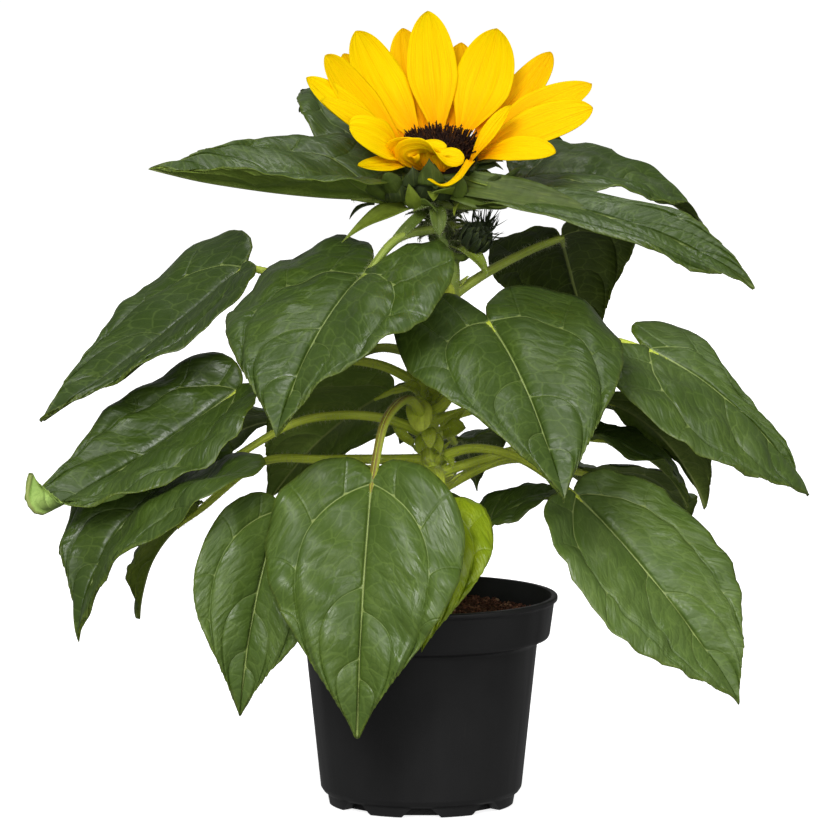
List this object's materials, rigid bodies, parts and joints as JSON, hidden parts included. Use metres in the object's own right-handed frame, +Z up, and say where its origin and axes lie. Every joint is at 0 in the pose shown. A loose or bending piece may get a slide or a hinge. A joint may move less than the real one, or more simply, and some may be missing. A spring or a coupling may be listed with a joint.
{
  "type": "potted dwarf sunflower plant",
  "caption": "Dwarf sunflower with one yellow bloom on a leafy stem, in a round black nursery pot filled with soil.",
  "frame": {"origin": "middle of the flat underside of the pot, level with the floor it stands on", "axes": "+Z up along the pot's middle line, -Y towards the viewer of the picture, +X to the viewer's right"},
  "size_m": [0.3649, 0.2753, 0.3752],
  "materials": {
    "pot": "satin black plastic, faint upright sheen",
    "soil": "moist dark brown peat crumbs",
    "stem": "green, ribbed and finely hairy",
    "leaf": "satin, quilted between pale veins, paler and matt below",
    "bud": "green, hairy",
    "petal": "soft sheen, ribbed along its length, orange at the foot",
    "disc": "dark brown florets, velvety"
  },
  "bodies": {
    "root": {"bud": "bud", "disc": "disc", "leaf_back_high": "leaf", "leaf_back_left": "leaf", "leaf_back_low": "leaf", "leaf_back_right_high": "leaf", "leaf_back_right_low": "leaf", "leaf_back_small": "leaf", "leaf_crown_back_left": "leaf", "leaf_crown_back_right": "leaf", "leaf_crown_far_right": "leaf", "leaf_crown_left": "leaf", "leaf_crown_right": "leaf", "leaf_front_left": "leaf", "leaf_front_left_low": "leaf", "leaf_front_low": "leaf", "leaf_front_pale": "leaf", "leaf_front_right": "leaf", "leaf_front_right_low": "leaf", "leaf_left_back": "leaf", "leaf_left_back_low": "leaf", "leaf_left_high": "leaf", "leaf_left_low": "leaf", "leaf_left_middle": "leaf", "leaf_right_back": "leaf", "leaf_right_high": "leaf", "leaf_right_middle": "leaf", "leaf_right_small": "leaf", "pot": "pot", "ray_petals": "petal", "receptacle": "bud", "soil": "soil", "stalk_back_high": "stem", "stalk_back_left": "stem", "stalk_back_low": "stem", "stalk_back_right_high": "stem", "stalk_back_right_low": "stem", "stalk_back_small": "stem", "stalk_crown_back_left": "stem", "stalk_crown_back_right": "stem", "stalk_crown_far_right": "stem", "stalk_crown_left": "stem", "stalk_crown_right": "stem", "stalk_front_left": "stem", "stalk_front_left_low": "stem", "stalk_front_low": "stem", "stalk_front_pale": "stem", "stalk_front_right": "stem", "stalk_front_right_low": "stem", "stalk_left_back": "stem", "stalk_left_back_low": "stem", "stalk_left_high": "stem", "stalk_left_low": "stem", "stalk_left_middle": "stem", "stalk_right_back": "stem", "stalk_right_high": "stem", "stalk_right_middle": "stem", "stalk_right_small": "stem", "stem": "stem"}
  },
  "joints": []
}
